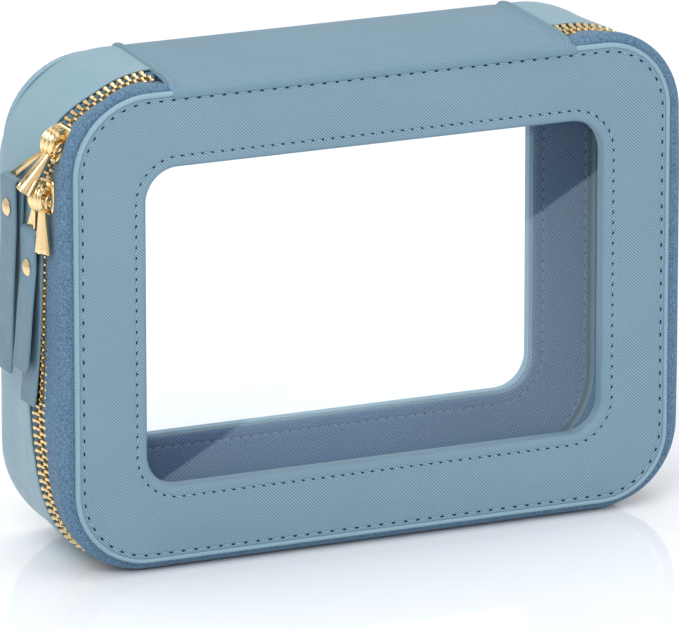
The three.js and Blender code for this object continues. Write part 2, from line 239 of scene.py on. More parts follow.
# A socket takes a link from another node, or a number.
def joined(tree, value, socket):
    if isinstance(value, bpy.types.NodeSocket):
        tree.links.new(value, socket)
    else:
        socket.default_value = value


# One sum on up to three numbers.
def maths(tree, operation, first, second=0.0, third=0.0):
    made = tree.nodes.new("ShaderNodeMath")
    made.operation = operation
    for value, socket in zip((first, second, third), made.inputs):
        joined(tree, value, socket)
    return made.outputs[0]


# First colour and second colour mixed by a share.
def blended(tree, share, first, second):
    made = tree.nodes.new("ShaderNodeMix")
    made.data_type = "RGBA"
    for value, socket in zip((share, first, second), (made.inputs[0], made.inputs[6], made.inputs[7])):
        joined(tree, value, socket)
    return made.outputs[2]


# A value's range stretched evenly to another range, and held at its ends.
def ranged(tree, value, low, high, outLow, outHigh):
    made = tree.nodes.new("ShaderNodeMapRange")
    for number, socket in zip((value, low, high, outLow, outHigh), made.inputs):
        joined(tree, number, socket)
    return made.outputs[0]


# Soft noise at a number of clouds per metre.
def cloud(tree, vector, scale, detail=2.0, roughness=0.5):
    made = tree.nodes.new("ShaderNodeTexNoise")
    tree.links.new(vector, made.inputs["Vector"])
    made.inputs["Scale"].default_value = scale
    made.inputs["Detail"].default_value = detail
    made.inputs["Roughness"].default_value = roughness
    return made.outputs[0]


# A height in the material bends the normal, by so many metres.
def raised(tree, shader, height, strength, distance):
    made = tree.nodes.new("ShaderNodeBump")
    made.inputs["Strength"].default_value = strength
    made.inputs["Distance"].default_value = distance
    tree.links.new(height, made.inputs["Height"])
    tree.links.new(made.outputs[0], shader.inputs["Normal"])


hatchLook = {
    "wobbleScale": 140, "wobble": 3.2,         # how the ridges waver
    "patchScale": 38, "patch": (0.25, 0.85),   # share of the first set of ridges, patch by patch
    "fineScale": 2600, "fine": 0.25,
    "driftScale": 22, "drift": 0.06,           # slow change of tone
    "relief": 0.00012,
}


# Cross-hatched leather: sine ridges along x + z and along x - z, both slightly wavy,
# with a share that changes from patch to patch. Furrows are less glossy, and darker by painted shade.
def crossHatchedLeather(name, light, dark, pitch, roughness, strength):
    material, tree, shader = startMaterial(name, roughness)
    uv = tree.nodes.new("ShaderNodeTexCoord").outputs["UV"]
    place = tree.nodes.new("ShaderNodeTexCoord").outputs["Object"]
    split = tree.nodes.new("ShaderNodeSeparateXYZ")
    tree.links.new(uv, split.inputs[0])
    across, up = split.outputs[0], split.outputs[1]
    look = hatchLook
    turns = 2 * math.pi / (pitch * millimetre * math.sqrt(2))
    wobble = maths(tree, "MULTIPLY", cloud(tree, place, look["wobbleScale"], 2), look["wobble"])
    ridges = []
    for operation in ("ADD", "SUBTRACT"):
        phase = maths(tree, "MULTIPLY_ADD", maths(tree, operation, across, up), turns, wobble)
        ridges.append(ranged(tree, maths(tree, "SINE", phase), -1, 1, 0, 1))
    patch = ranged(tree, cloud(tree, place, look["patchScale"], 1), 0.4, 0.6, *look["patch"])
    height = maths(tree, "ADD", maths(tree, "MULTIPLY", ridges[0], patch),
                   maths(tree, "MULTIPLY", ridges[1], maths(tree, "SUBTRACT", 1, patch)))
    fine = cloud(tree, place, look["fineScale"], 2)
    height = maths(tree, "ADD", height, maths(tree, "MULTIPLY", fine, look["fine"]))
    drift = cloud(tree, place, look["driftScale"], 3)
    # the tone follows the ridges' height, which paints shade in the furrows; the slow drift is random tone
    tone = maths(tree, "ADD", ranged(tree, height, 0.2, 0.95, 0, 1),
                 ranged(tree, drift, 0.3, 0.7, -look["drift"], look["drift"]))
    tree.links.new(blended(tree, tone, paint(dark), paint(light)), shader.inputs["Base Color"])
    gloss = ranged(tree, height, 0, 1.2, roughness + 0.1, roughness - 0.06)
    tree.links.new(gloss, shader.inputs["Roughness"])
    raised(tree, shader, height, strength, look["relief"])
    return material


smoothLook = {"driftScale": 26, "poreScale": 1900, "creaseScale": 260, "creases": 0.8,
              "strength": 0.16, "relief": 0.0001}


# Smooth leather: three clouds, wide for the tone, fine for the pores and one between
# them for faint creases, which also change the gloss.
def smoothLeather(name, light, dark, roughness):
    material, tree, shader = startMaterial(name, roughness)
    place = tree.nodes.new("ShaderNodeTexCoord").outputs["Object"]
    look = smoothLook
    drift = cloud(tree, place, look["driftScale"], 4, 0.6)
    pores = cloud(tree, place, look["poreScale"], 3, 0.6)
    creases = cloud(tree, place, look["creaseScale"], 3, 0.55)
    tone = maths(tree, "ADD", maths(tree, "MULTIPLY", drift, 0.75), maths(tree, "MULTIPLY", pores, 0.25))
    tree.links.new(blended(tree, ranged(tree, tone, 0.35, 0.65, 0, 1), paint(dark), paint(light)),
                   shader.inputs["Base Color"])
    tree.links.new(ranged(tree, creases, 0.3, 0.7, roughness - 0.06, roughness + 0.08),
                   shader.inputs["Roughness"])
    height = maths(tree, "ADD", pores, maths(tree, "MULTIPLY", creases, look["creases"]))
    raised(tree, shader, height, look["strength"], look["relief"])
    return material


weaveLook = {
    "roughness": 0.82, "specular": 0.25, "sheen": 0.08, "sheenRoughness": 0.5,
    "herringbone": 0.0011, "rib": 0.00062, "weft": 0.00045,   # metres across and along the tape
    "fleckScale": 1500, "strength": 0.5, "relief": 0.00012,
}


# Woven zip tape: sine ribs whose phase zigzags across the tape, a sine weft over them,
# and a fine cloud for the loose flecks of the lighter yarn.
def wovenTape(name, light, dark):
    look = weaveLook
    material, tree, shader = startMaterial(name, look["roughness"], specular=look["specular"])
    uv = tree.nodes.new("ShaderNodeTexCoord").outputs["UV"]
    split = tree.nodes.new("ShaderNodeSeparateXYZ")
    tree.links.new(uv, split.inputs[0])
    run, side = split.outputs[0], split.outputs[1]
    zigzag = maths(tree, "PINGPONG", side, look["herringbone"])
    phase = maths(tree, "MULTIPLY", maths(tree, "ADD", run, zigzag), 2 * math.pi / look["rib"])
    rib = ranged(tree, maths(tree, "SINE", phase), -1, 1, 0, 1)
    crossing = maths(tree, "MULTIPLY", side, 2 * math.pi / look["weft"])
    weft = ranged(tree, maths(tree, "SINE", crossing), -1, 1, 0, 1)
    place = tree.nodes.new("ShaderNodeTexCoord").outputs["Object"]
    fleck = cloud(tree, place, look["fleckScale"], 3, 0.7)
    height = maths(tree, "ADD", maths(tree, "MULTIPLY", rib, 0.6), maths(tree, "MULTIPLY", weft, 0.25))
    tone = maths(tree, "ADD", maths(tree, "MULTIPLY", height, 0.5), ranged(tree, fleck, 0.35, 0.68, 0, 0.75))
    tree.links.new(blended(tree, tone, paint(dark), paint(light)), shader.inputs["Base Color"])
    raised(tree, shader, maths(tree, "ADD", height, fleck), look["strength"], look["relief"])
    shader.inputs["Sheen Weight"].default_value = look["sheen"]
    shader.inputs["Sheen Roughness"].default_value = look["sheenRoughness"]
    return material


goldLook = {"roughness": 0.16, "wearScale": 420, "rippleScale": 900, "strength": 0.06, "relief": 0.0001}


# Polished gold plate: one cloud of hand wear changes its gloss and tone, and a finer one
# ripples it.
def goldPlate(name, colour):
    roughness = goldLook["roughness"]
    material, tree, shader = startMaterial(name, roughness, metallic=1.0)
    place = tree.nodes.new("ShaderNodeTexCoord").outputs["Object"]
    wear = cloud(tree, place, goldLook["wearScale"], 4, 0.6)
    gloss = ranged(tree, wear, 0.3, 0.75, roughness - 0.05, roughness + 0.12)
    tree.links.new(gloss, shader.inputs["Roughness"])
    tree.links.new(blended(tree, wear, paint(colour[0]), paint(colour[1])), shader.inputs["Base Color"])
    ripple = cloud(tree, place, goldLook["rippleScale"], 2)
    raised(tree, shader, ripple, goldLook["strength"], goldLook["relief"])
    return material


twistLook = {"roughness": 0.6, "plies": 9500, "slope": 1.4, "strength": 0.3, "relief": 0.0001}


# Sewing thread: a sine along x plus a multiple of z stands for the plies of the twist.
def threadMaterial(name, light, dark):
    look = twistLook
    material, tree, shader = startMaterial(name, look["roughness"])
    place = tree.nodes.new("ShaderNodeTexCoord").outputs["Object"]
    split = tree.nodes.new("ShaderNodeSeparateXYZ")
    tree.links.new(place, split.inputs[0])
    slope = maths(tree, "ADD", split.outputs[0], maths(tree, "MULTIPLY", split.outputs[2], look["slope"]))
    ply = ranged(tree, maths(tree, "SINE", maths(tree, "MULTIPLY", slope, look["plies"])), -1, 1, 0, 1)
    tree.links.new(blended(tree, ply, paint(dark), paint(light)), shader.inputs["Base Color"])
    raised(tree, shader, ply, look["strength"], look["relief"])
    return material


# Painted shade for the inside of a needle hole: a dark material.
def paintedHoleShade(name, colour):
    material, tree, shader = startMaterial(name, 0.9, specular=0.1)
    place = tree.nodes.new("ShaderNodeTexCoord").outputs["Object"]
    rim = cloud(tree, place, 2500, 1)
    tree.links.new(blended(tree, rim, paint(colour[0]), paint(colour[1])), shader.inputs["Base Color"])
    return material


# Clear soft film: nearly all light passes, and the face mirrors the room a little. Its faint emission is
# painted light. Below the line z = slope * x + height a painted reflection lies in it, as a denser alpha.
def clearFilm(name, look):
    material, tree, shader = startMaterial(name, look["roughness"])
    shader.inputs["Base Color"].default_value = paint(look["tint"])
    shader.inputs["Transmission Weight"].default_value = 0.0
    shader.inputs["IOR"].default_value = look["ior"]
    # the film's emission glow is painted light: the film is no lamp
    shader.inputs["Emission Color"].default_value = (*look["glow"], 1)
    shader.inputs["Emission Strength"].default_value = 1.0
    place = tree.nodes.new("ShaderNodeTexCoord").outputs["Object"]
    split = tree.nodes.new("ShaderNodeSeparateXYZ")
    tree.links.new(place, split.inputs[0])
    # below this sloping line the alpha rises: a painted reflection, made uneven by a soft cloud
    edge = maths(tree, "MULTIPLY_ADD", split.outputs[0], look["paintedReflectionSlope"], look["paintedReflectionHeight"])
    below = maths(tree, "SUBTRACT", edge, split.outputs[2])
    alpha = ranged(tree, below, -0.0006, 0.0006, look["alpha"], look["paintedReflectionAlpha"])
    patchiness = ranged(tree, cloud(tree, place, 14, 3), 0.3, 0.7, 0.9, 1.1)
    tree.links.new(maths(tree, "MULTIPLY", alpha, patchiness), shader.inputs["Alpha"])
    return material


# Grey pressed board with fibres.
def pressedBoard(name, light, dark):
    material, tree, shader = startMaterial(name, 0.9)
    place = tree.nodes.new("ShaderNodeTexCoord").outputs["Object"]
    fibre = cloud(tree, place, 700, 4, 0.7)
    tree.links.new(blended(tree, fibre, paint(dark), paint(light)), shader.inputs["Base Color"])
    raised(tree, shader, fibre, 0.3, 0.0002)
    return material


colours = {
    # in the hatched leathers the dark colour is painted shade in the furrows
    "panelLight": "#82a1b2", "panelDark": "#526e81",
    # the strip's light colour is darker than the panel's though it is the same leather: painted shade on the
    # top
    "stripLight": "#7595a6", "stripDark": "#547386",
    "wallLight": "#82a1ae", "wallDark": "#7a9ba9",
    "edgeLight": "#89a6b5", "edgeDark": "#7897a8",
    "liningLight": "#426a93", "liningDark": "#213f6a",
    "tapeLight": "#6f91a8", "tapeDark": "#264566",
    # the strap colours are darker than the wall's same leather: painted shade on the straps
    "strapLight": "#6a8899", "strapDark": "#587788",
    "threadLight": "#97b6c4", "threadDark": "#5e7d8f",
    "insideThreadLight": "#6785a2", "insideThreadDark": "#3c5675",
    # the hole colours are painted shade for the needle holes
    "hole": ("#16344c", "#0d2438"),
    "gold": ("#e6c68c", "#f6e0b4"),
    "boardLight": "#a8a8a2", "boardDark": "#8a8a84",
}

hatched = {                            # pitch of the ridges in mm, roughness, strength
    "panel": (0.8, 0.5, 0.5), "strip": (0.8, 0.5, 0.35),
    "lining": (0.95, 0.6, 0.5), "edge": (0.8, 0.45, 0.25),
}
# glow is the film's painted glow, and the denser alpha below the sloping line is a painted reflection
filmLook = {
    "tint": "#ffffff", "glow": (0.42, 0.85, 1.1), "roughness": 0.05, "ior": 1.5,
    "alpha": 0.012, "paintedReflectionAlpha": 0.036, "paintedReflectionSlope": 0.558, "paintedReflectionHeight": 0.0726,
}


# One of the cross-hatched leathers, by its key in the colours and the hatch table.
def hatchedLeather(key):
    return crossHatchedLeather(f"{key}Leather", colours[f"{key}Light"], colours[f"{key}Dark"], *hatched[key])


panelLeather = hatchedLeather("panel")
# a darker copy of the panel leather: painted shade on the top strip
stripLeather = hatchedLeather("strip")
liningLeather = hatchedLeather("lining")
wallLeather = smoothLeather("wallLeather", colours["wallLight"], colours["wallDark"], 0.42)
edgeLeather = hatchedLeather("edge")
# a darker copy of the wall leather: painted shade on the straps
strapLeather = smoothLeather("strapLeather", colours["strapLight"], colours["strapDark"], 0.45)
tapeWeave = wovenTape("tapeWeave", colours["tapeLight"], colours["tapeDark"])
gold = goldPlate("goldPlate", colours["gold"])
thread = threadMaterial("thread", colours["threadLight"], colours["threadDark"])
insideThread = threadMaterial("insideThread", colours["insideThreadLight"], colours["insideThreadDark"])
hole = paintedHoleShade("paintedHoleShade", colours["hole"])
board = pressedBoard("pressedBoard", colours["boardLight"], colours["boardDark"])
film = clearFilm("clearFilm", filmLook)
print("materials made")


# corner centres and radii; the front panel is a little out of true
windowOutline = roundedPath((-71.05, 127.15, 11.5), (-71.05, 41.05, 11.5),
                            (71.9, 41.05, 11.5), (71.9, 127.15, 11.5))
panelOutlines = {
    "front": roundedPath((-81.3, 137.5, 27.5), (-81.8, 30.2, 27), (84.3, 27.7, 24.5), (84.3, 140.5, 24.5)),
    "back": panelPath(108.8, 3.2, 165.0, 30.0),
}
facing = {"front": -1, "back": 1}
bodyOf = {"front": "lid", "back": "shell"}

panelLook = {
    "edgeStitchInset": 3.4, "edgeStitchPitch": 4.5,
    "windowStitchOutset": 3.9, "windowStitchPitch": 3.6,
    "channel": 0.32,                   # depth of the sewn channels
    "puff": 0.35,                      # how far the leather frame stands proud between them
    "spacing": 1.7,
    "stitchLift": 0.12, "windowStitchTilt": 14,
    # on the lining: insets, pitches and depth of its stitches
    "insideEdgeInset": 5.0, "insideEdgePitch": 4.5, "insideWindowOutset": 4.6, "insideWindowPitch": 3.6,
    "insideDepth": 6.42,
    # the rolled edge: its middle from the outline and the face, and its half axes
    "rollInset": 1.4, "rollDepth": 1.0, "rollHalfWidth": 0.9, "rollHalfHeight": 1.35, "rollSides": 14,
}

# Rows of share, outset and depth from the panel's face: out over the edge, through the
# edge channel, across the leather frame, through the window channel and down the reveal,
# then back inside the leather.
bridge = [(s, -6.5 + 13 * s, -0.08 - panelLook["puff"] * math.sin(math.pi * s))
          for s in (0.08, 0.18, 0.32, 0.5, 0.68, 0.82, 0.92)]
coverRows = [
    (0, -2.35, 4.6), (0, -2.2, 1.6), (0, -1.9, 0.7), (0, -2.1, 0.25), (0, -2.5, 0.03), (0, -3.0, 0.06),
    (0, -3.2, 0.2), (0, -3.4, 0.34), (0, -3.6, 0.2), (0, -3.85, 0.06), (0, -4.4, -0.02), (0, -6.5, -0.08),
    *bridge,
    (1, 6.5, -0.08), (1, 5.0, 0.0), (1, 4.35, 0.08), (1, 4.1, 0.2), (1, 3.9, 0.34), (1, 3.7, 0.2),
    (1, 3.45, 0.06), (1, 3.0, -0.02), (1, 2.2, -0.05), (1, 1.4, 0.03), (1, 0.75, 0.25), (1, 0.3, 0.65),
    (1, 0.05, 1.2), (1, 0, 2.0), (1, 0, 3.2), (1, 0.05, 4.6),
    (1, 1.0, 4.6), (1, 1.0, 1.15), (1, 4.0, 1.1), (0, -3.4, 1.1), (0, -3.3, 1.5), (0, -3.3, 4.6),
]
liningRows = [
    (0, -3.35, 5.7), (0, -3.2, 6.1), (0, -3.5, 6.5), (0, -4.2, 6.6), (0, -4.75, 6.5), (0, -5.0, 6.3),
    (0, -5.25, 6.5), (0, -5.8, 6.62), (0, -7.5, 6.65), (0.5, 0, 6.75), (1, 7.5, 6.65), (1, 5.4, 6.62),
    (1, 4.85, 6.5), (1, 4.6, 6.3), (1, 4.35, 6.5), (1, 3.7, 6.6), (1, 2.2, 6.55), (1, 1.4, 6.35),
    (1, 1.0, 6.0), (1, 1.0, 5.7),
]


# A profile carried round one panel, between its outline and the window's.
def panelSweep(side, rows):
    share, outset, depth = columns(rows)
    outline = panelOutlines[side]
    place = evenPlaces(outline, panelLook["spacing"])[None]
    return sweep(outline, windowOutline, place, share, outset, facing[side] * (faceDepth - depth))


# Leather coordinates of a panel's cover: the place on the face, carried on over both
# edges by as much as the surface has gone down.
def unrolled(side, rows, grid):
    share, outset, depth = columns(rows)
    angle = along(panelOutlines[side], evenPlaces(panelOutlines[side], panelLook["spacing"])[None])[3]
    past = (1 - 2 * share) * depth
    return np.stack([grid[..., 0] + past * np.cos(angle), grid[..., 2] + past * np.sin(angle)], -1)


# Stitches along an outline: thread beads that lie in the channel, and between them the needle's holes, each a
# flat dark oval a hair above the leather, which is painted shade for the hole's dark inside.
def stitchLine(name, path, pitch, y, outward, body, sizes, tilt=0.0):
    threadSize, holeSize = sizes
    length = path["run"][-1]
    count = round(length / pitch)
    step = length / count
    run = (np.arange(count) + 0.5) * step
    threads = bead(step * threadSize["length"], threadSize["width"], threadSize["height"], 6, 6, 0.35)
    holes = bead(holeSize["length"], holeSize["width"], holeSize["height"], 4, 8, 0.5)
    for part, shift, shape, material, lift in (
            ("thread", 0.5, threads, threadSize["material"], 0.0),
            ("holes", 0.0, holes, holeSize["material"], holeSize["lift"])):
        hubs, radius, out, onward = lineUp(path, placeAt(path, (run + shift * step) % length), y)
        proud = 0 * out + [0, outward, 0]
        turn = math.radians(tilt)
        axes = np.stack([math.cos(turn) * onward + math.sin(turn) * out,
                         math.cos(turn) * out - math.sin(turn) * onward, proud], 1)
        centres = hubs + radius * out + lift * proud
        settle(manyPiece(f"{name}_{part}", shape, centres, axes, material), body, "saffiano_leather")


# in each pair the second is the dark oval of painted shade at the needle holes
stitchLook = {
    "edge": ({"length": 0.78, "width": 0.62, "height": 0.6, "material": thread},
             {"length": 1.5, "width": 0.66, "height": 0.12, "lift": 0.12, "material": hole}),
    "window": ({"length": 0.8, "width": 0.72, "height": 0.7, "material": thread},
               {"length": 1.1, "width": 0.6, "height": 0.12, "lift": 0.12, "material": hole}),
    "inside": ({"length": 0.8, "width": 0.5, "height": 0.3, "material": insideThread},
               {"length": 1.0, "width": 0.5, "height": 0.1, "lift": 0.1, "material": hole}),
}

for side in ("front", "back"):
    outline, body, outward = panelOutlines[side], bodyOf[side], facing[side]
    cover = panelSweep(side, coverRows)
    flat = unrolled(side, coverRows, cover)
    settle(gridPiece(f"{side}_cover_leather", cover, panelLeather, True, True, uv=flat, sharp=60),
           body, "saffiano_leather", f"{side}_panel_cover")

    inside = panelSweep(side, liningRows)
    flat = np.stack([inside[..., 0], inside[..., 2]], -1)
    settle(gridPiece(f"{side}_frame_lining", inside, liningLeather, True, True, uv=flat, sharp=60),
           body, "inner_lining", f"{side}_panel_lining")

    # the rolled edge is an oval carried round the panel
    turn = np.linspace(0, 2 * math.pi, panelLook["rollSides"], endpoint=False)[:, None]
    place = evenPlaces(outline, panelLook["spacing"])[None]
    roll = sweep(outline, outline, place, 0,
                 -panelLook["rollInset"] + panelLook["rollHalfWidth"] * np.cos(turn),
                 outward * (faceDepth - panelLook["rollDepth"] + panelLook["rollHalfHeight"] * np.sin(turn)))
    flat = np.stack([roll[..., 0], roll[..., 2]], -1)
    settle(gridPiece(f"{side}_edge_roll", roll, edgeLeather, True, True, uv=flat), body, "smooth_leather",
           f"{side}_panel_piping")

    y = outward * (faceDepth - panelLook["channel"] + panelLook["stitchLift"])
    stitchLine(f"{side}_edge_stitch", moved(outline, -panelLook["edgeStitchInset"]),
               panelLook["edgeStitchPitch"], y, outward, body, stitchLook["edge"])
    stitchLine(f"{side}_window_stitch", moved(windowOutline, panelLook["windowStitchOutset"]),
               panelLook["windowStitchPitch"], y, outward, body, stitchLook["window"],
               tilt=panelLook["windowStitchTilt"])
    y = outward * (faceDepth - panelLook["insideDepth"])
    stitchLine(f"{side}_inside_edge_stitch", moved(outline, -panelLook["insideEdgeInset"]),
               panelLook["insideEdgePitch"], y, -outward, body, stitchLook["inside"])
    stitchLine(f"{side}_inside_window_stitch", moved(windowOutline, panelLook["insideWindowOutset"]),
               panelLook["insideWindowPitch"], y, -outward, body, stitchLook["inside"])

    dress(f"{side}_panel_board", board)
    dress(f"{side}_window_film", film)
print("window panels made")


wallPath = roundedPath((-72.8, 127.8, 36), (-78.8, 33.2, 30), (78.8, 33.2, 30), (78.8, 133.8, 30))
wallLength = wallPath["run"][-1]
wallLook = {
    "gussetSwell": 3.2, "tapeSwell": 2.2, "backRounding": 14, "backRoundingStart": 17.3,
    "stripRoundingEnd": -15.1, "tapeRoundingEnd": -25.8, "tapeRounding": 3.4, "tapeBulge": 0.6,
    # over this depth the tape passes from the panel's outline to the wall's, by places on
    # the wall's outline and beside them on the panel's, whose corners are tighter
    "tapeTurn": (-29.2, -16.5),
    "panelPlaces": ((0, 0), (1, 0.885), (1.35, 1.35), (7.6, 7.6), (8, 8.065), (9, 9)),
    "endTuck": 1.5, "endTuckReach": 7.0,   # how far the front tape dips under the strip's ends
    "seamFront": -73.0, "seamBack": -69.6,       # the left end seam leans back to the right
    "seamRight": 73.0, "seamRightBack": 74.5,
    "seamDepth": 29, "spacing": 1.7, "bulgeReach": 3,
}


# The wall bellies out at the zip by an amount that changes round the case. Over the
# depth the belly grows from the front panel to the lip, as a power of the way there,
# and fades towards the back.
bellyLook = {
    "amount": ((0, 0), (1, 0), (1.34, -0.9), (1.42, -0.2), (1.5, 0.6), (1.6, 1.5), (1.7, 0.9), (1.83, 0.2),
               (1.9, 0.3), (2, 0.8), (2.1, 1.6), (2.3, 2.0), (2.5, 2.6), (2.67, 3.4), (2.76, 4.1),
               (2.85, 3.6), (2.91, 3.0), (2.96, 2.2), (3.05, 1.3), (3.2, 0.8), (3.37, 1.1),
               (3.5, 1.5), (3.65, 1.3),
               (3.85, 0.3), (4, 0), (5, 0), (5.2, 0.4), (5.5, 2.0), (5.8, 3.2), (6.2, 3.8), (6.8, 3.8),
               (7.1, 3.0), (7.5, 1.6), (7.8, 0.5), (8, 0), (9, 0)),
    "power": ((0, 0.5), (4, 0.5), (5, 0.15), (9, 0.15)),
    "grow": (-29.2, -9.0), "fade": (-9.0, 14.0),
}


# How far over a stretch of depth: 0 before it, 1 after it, even between.
def wayOver(y, reach):
    return np.clip((y - reach[0]) / (reach[1] - reach[0]), 0, 1)


def belly(y, place):
    amount, power = (np.interp(place, *zip(*bellyLook[key])) for key in ("amount", "power"))
    grown, faded = wayOver(y, bellyLook["grow"]), wayOver(y, bellyLook["fade"])
    return amount * grown ** power * (1 - faded * faded * (3 - 2 * faded))


# A quarter ellipse: full height until the rounding starts, down to nothing at its reach.
def quarterRound(height, past, reach):
    return height * np.sqrt(np.clip(1 - np.clip(past / reach, 0, 1) ** 2, 0, 1))


# The wall's swell is flat, and rounds down to the back panel as a quarter ellipse.
def gussetSwell(y):
    return quarterRound(wallLook["gussetSwell"], y - wallLook["backRoundingStart"], wallLook["backRounding"])


# The strip's swell rounds down at the front as well.
def stripSwell(y):
    front = quarterRound(wallLook["gussetSwell"], wallLook["stripRoundingEnd"] - y, wallLook["backRounding"])
    return np.minimum(gussetSwell(y), front)


# The tape rounds down to the front panel, with a bell-shaped bulge where it turns.
def tapeSwell(y):
    turn = wallLook["tapeRoundingEnd"]
    bulge = wallLook["tapeBulge"] * np.exp(-((y - turn) / wallLook["bulgeReach"]) ** 2)
    return bulge + quarterRound(wallLook["tapeSwell"], turn - y, wallLook["tapeRounding"])


# The end seams of the top strip lean: X changes evenly with depth.
def seamLeft(y):
    depth = wallLook["seamDepth"]
    return np.interp(y, [-depth, depth], [wallLook["seamFront"], wallLook["seamBack"]])


def seamRight(y):
    depth = wallLook["seamDepth"]
    return np.interp(y, [-depth, depth], [wallLook["seamRight"], wallLook["seamRightBack"]])


# Run along the wall's outline at which a point of the top edge lies.
def runOfLeft(x):
    return wallPath["stops"][0, 0] - x


def runOfRight(x):
    return wallLength + wallPath["stops"][0, 0] - x


# A layer of the wall from the left end seam, down, along the bottom and up to the
# right end seam. Rows give depth, the outset from the swelling surface and how much of
# the belly they follow. The front tape starts on the panel's outline and dips at its ends.
def wallSweep(rows, swell, overlap=0.2, fromPanel=False):
    y, local, follows = columns(rows)
    start = runOfLeft(seamLeft(y) + overlap)
    end = runOfRight(seamRight(y) - overlap)
    share = (evenPlaces(wallPath, wallLook["spacing"]) / 9)[None]
    even = runAt(wallPath, share * 9) / wallLength
    even = np.concatenate([even, [[1.0]]], 1)
    place = placeAt(wallPath, start + (end - start) * even)
    outset = swell(y) + follows * belly(y, place) + local
    if fromPanel:
        toEnd = wallLength * np.minimum(even, 1 - even)
        outset = outset - wallLook["endTuck"] * np.exp(-(toEnd / wallLook["endTuckReach"]) ** 2)
    grid = sweep(wallPath, wallPath, place, 0, outset, y)
    if fromPanel:
        panel = panelOutlines["front"]
        beside = np.interp(place, *zip(*wallLook["panelPlaces"]))
        near = sweep(panel, panel, beside, 0, outset, y)
        grid = near + np.interp(y, wallLook["tapeTurn"], [0, 1])[..., None] * (grid - near)
    run = even[0] * wallLength
    gaps = np.linalg.norm(np.diff(grid[:, 0], axis=0, append=grid[:1, 0]), axis=1)
    return grid, (run, np.concatenate([[0], np.cumsum(gaps)]))


lipRows = [(-8.3, -0.95, 1), (-8.85, -0.8, 1), (-9.1, -0.45, 1), (-9.05, -0.1, 1), (-8.7, 0.08, 1),
           (-8.1, 0.15, 1), (-7.2, 0.08, 1), (-6.0, 0.0, 1)]
gussetRows = lipRows + [(y, 0.0, 1) for y in np.linspace(-3.5, 16.5, 9)] + [
    (y, 0.0, 1) for y in np.linspace(18, 29.2, 12)] + [
    (29.6, -0.45, 0), (29.9, -1.2, 0), (29.9, -2.4, 0), (29.2, -3.3, 0), (28.0, -2.4, 0), (22, -1.0, 0),
    (10, -1.0, 0), (-2, -1.0, 0), (-7.6, -1.0, 0), (-8.2, -1.0, 0)]
grid, uv = wallSweep(gussetRows, gussetSwell)
settle(gridPiece("gusset_wall", grid, wallLeather, rowLoop=True, caps=True, uv=uv, sharp=50),
       "shell", "smooth_leather", "gusset_leather")

# the lining goes all round, under the top strip too
depth, outset = columns([(-8.6, -3.1), (-8.8, -3.6), (-8.4, -4.0), (-4, -4.0), (4, -4.0), (14, -4.0),
                         (24.7, -4.0), (24.7, -3.25), (8, -3.25)])
place = evenPlaces(wallPath, wallLook["spacing"])[None]
grid = sweep(wallPath, wallPath, place, 0, gussetSwell(depth) + outset, depth)
uv = (np.append(runAt(wallPath, place[0]), wallLength), np.append(depth[:, 0], depth[0, 0]))
settle(gridPiece("gusset_inner_lining", grid, liningLeather, True, True, uv=uv, sharp=50),
       "shell", "inner_lining", "gusset_lining")


# each half of the tape: from its sewn edge to the cord at the teeth, and back inside
frontTapeRows = [
    (-28.0, -2.4, 1), (-29.0, -2.2, 1), (-29.45, -1.2, 1), (-29.4, -0.45, 1), (-29.0, -0.15, 1),
    *[(y, -0.15, 1) for y in (-28.4, -27.7, -26.9, -26.0, -24.8, -22.8, -20.8, -19.0)],
    (-18.2, -0.1, 1), (-17.5, 0.1, 1), (-17.1, -0.2, 1), (-16.8, -0.6, 1), (-15.1, -0.7, 1),
    (-15.1, -1.0, 1), (-17.3, -1.0, 1), *[(y, -0.85, 1) for y in (-19.0, -22.8, -26.2, -27.8)],
    (-28.2, -1.3, 1),
]
rearTapeRows = [(-5.8, -1.0, 1), (-7.5, -0.55, 1), (-8.6, -0.3, 1), (-10.0, -0.12, 1), (-11.0, -0.08, 1),
                (-11.5, 0.1, 1), (-11.9, -0.2, 1), (-12.2, -0.6, 1), (-13.9, -0.7, 1), (-13.9, -1.0, 1),
                (-11.7, -1.0, 1), (-8.5, -1.1, 1), (-6.0, -1.4, 1)]
for name, rows, node, body, fromPanel in (
        ("front_tape_weave", frontTapeRows, "front_zip_tape", "lid", True),
        ("rear_tape_weave", rearTapeRows, "rear_zip_tape", "shell", False)):
    grid, uv = wallSweep(rows, tapeSwell, fromPanel=fromPanel)
    settle(gridPiece(name, grid, tapeWeave, rowLoop=True, caps=True, uv=uv, sharp=60), body, "zip_tape", node)

dress("gusset_board", board)
print("soft wall made")


toothLook = {
    "pitch": 2.64, "length": 4.3, "sides": 8,
    "firstX": -73.0, "lastX": 73.0, "margin": 1.6,   # the rows end this far from the strip's ends
    "squareness": 0.7,
    "reach": 0.45,                     # how far a head passes the middle of the zip
    "middle": 1.75,                    # outset of the teeth's middle plane
    "halfHeight": 1.15,
    "lean": 14,                        # degrees that the row faces forwards
    # along the tooth from tape to head: half thickness and half height
    "station": (0.0, 0.06, 0.3, 0.52, 0.7, 0.9, 1.0),
    "thick": (0.0, 0.8, 0.88, 0.52, 0.74, 0.66, 0.0),
    "high": (0.0, 0.85, 1.0, 0.66, 1.0, 0.8, 0.0),
}


# A metal tooth: a clamp on the tape, a waist and a round head, as rings of a
# squared oval whose half thickness and height follow the stations.
def toothShape():
    station, thick, high = (np.array(toothLook[key])[:, None] for key in ("station", "thick", "high"))
    a = np.linspace(0, 2 * math.pi, toothLook["sides"], endpoint=False)[None] + math.pi / 8
    power = toothLook["squareness"]
    points = np.stack([station * toothLook["length"] + 0 * a, thick * squared(np.cos(a), power),
                       toothLook["halfHeight"] * high * squared(np.sin(a), power)], -1)
    return points.reshape(-1, 3), gridFaces(points.shape[:2], False, True)[1]


